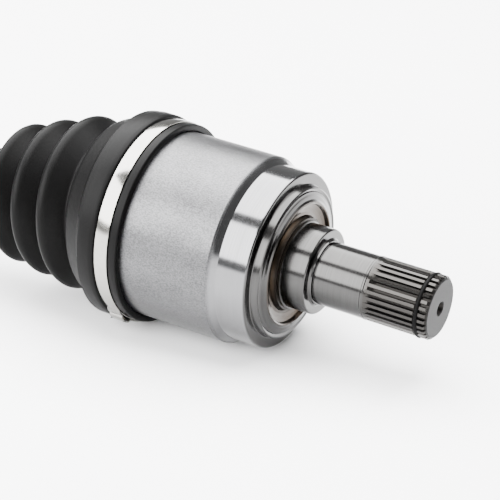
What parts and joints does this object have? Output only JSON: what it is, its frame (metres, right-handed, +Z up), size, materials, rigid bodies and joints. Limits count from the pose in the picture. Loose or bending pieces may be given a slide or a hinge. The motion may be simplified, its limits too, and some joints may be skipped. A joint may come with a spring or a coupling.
{
  "type": "drive shaft",
  "caption": "Drive shaft with a plunging ball joint and splined stub at the gearbox end and a fixed ball joint with a threaded, splined end at the wheel, each under a rubber boot.",
  "frame": {"origin": "middle of the inner stub's oil seal journal, on the axis of the gearbox end", "axes": "+X along the level bar, toward the gearbox end; +Z up as the shaft lies on a floor; the gearbox end dips 4.9 degrees toward +X"},
  "size_m": [0.6631, 0.0988, 0.0984],
  "materials": {
    "forged_steel": "turned and blasted, satin",
    "ground_steel": "ground",
    "hardened_steel": "hardened, dark",
    "ball_steel": "polished",
    "spring_steel": "spring steel",
    "black_spring_steel": "blackened spring steel",
    "clamp_steel": "bright stainless band",
    "bar_paint": "black paint, satin",
    "boot_rubber": "moulded rubber, satin"
  },
  "bodies": {
    "housing": {"inner_joint_housing": "forged_steel", "inner_stub_circlip": "black_spring_steel", "inner_retaining_wire": "spring_steel", "inner_boot": "boot_rubber", "inner_boot_clamp": "clamp_steel"},
    "inner_pivot_balls": {"inner_ball_1": "ball_steel", "inner_ball_4": "ball_steel"},
    "inner_cage": {"inner_cage": "hardened_steel", "inner_ball_2": "ball_steel", "inner_ball_3": "ball_steel", "inner_ball_5": "ball_steel", "inner_ball_6": "ball_steel"},
    "bar": {"shaft_bar": "bar_paint", "inner_race": "ground_steel", "inner_race_circlip": "spring_steel", "inner_boot_small_clamp": "clamp_steel", "outer_boot_small_clamp": "clamp_steel", "outer_race": "ground_steel", "outer_race_circlip": "spring_steel"},
    "outer_top_ball": {"outer_ball_1": "ball_steel"},
    "outer_cage": {"outer_cage": "hardened_steel", "outer_ball_2": "ball_steel", "outer_ball_3": "ball_steel", "outer_ball_5": "ball_steel", "outer_ball_6": "ball_steel"},
    "outer_bottom_ball": {"outer_ball_4": "ball_steel"},
    "bell": {"outer_joint_bell": "forged_steel", "outer_boot": "boot_rubber", "outer_boot_clamp": "clamp_steel"}
  },
  "joints": [
    {"name": "plunge", "type": "slide", "parent": "housing", "child": "inner_pivot_balls", "axis": [0.9963, 0, -0.0856], "range_m": [-0.016, 0.016], "deforming": ["inner_boot"]},
    {"name": "inner_swing", "type": "hinge", "parent": "inner_pivot_balls", "child": "bar", "pos_m": [-0.05689, 0, 0.00489], "axis": [0, 1, 0], "range_deg": [-15, 24.8], "deforming": ["inner_boot"]},
    {"name": "inner_cage_swing", "type": "hinge", "parent": "inner_pivot_balls", "child": "inner_cage", "pos_m": [-0.05689, 0, 0.00489], "axis": [0, 1, 0], "range_deg": [-7.5, 12.4]},
    {"name": "outer_tilt", "type": "hinge", "parent": "bar", "child": "outer_top_ball", "pos_m": [-0.48689, 0, 0.00489], "axis": [0, 1, 0], "range_deg": [-7.5, 7.5], "deforming": ["outer_boot"]},
    {"name": "outer_steer", "type": "hinge", "parent": "outer_top_ball", "child": "outer_cage", "pos_m": [-0.48689, 0, 0.00489], "axis": [0, 0, 1], "range_deg": [-19, 19], "deforming": ["outer_boot"]},
    {"name": "outer_steer_bell", "type": "hinge", "parent": "outer_cage", "child": "outer_bottom_ball", "pos_m": [-0.48689, 0, 0.00489], "axis": [0, 0, 1], "range_deg": [-19, 19], "deforming": ["outer_boot"]},
    {"name": "outer_tilt_bell", "type": "hinge", "parent": "outer_bottom_ball", "child": "bell", "pos_m": [-0.48689, 0, 0.00489], "axis": [0, 1, 0], "range_deg": [-7.5, 7.5], "deforming": ["outer_boot"]}
  ],
  "couplings": [
    {"joint": "inner_cage_swing", "follows": "inner_swing", "ratio": 0.5},
    {"joint": "outer_steer_bell", "follows": "outer_steer", "ratio": 1},
    {"joint": "outer_tilt_bell", "follows": "outer_tilt", "ratio": 1}
  ]
}
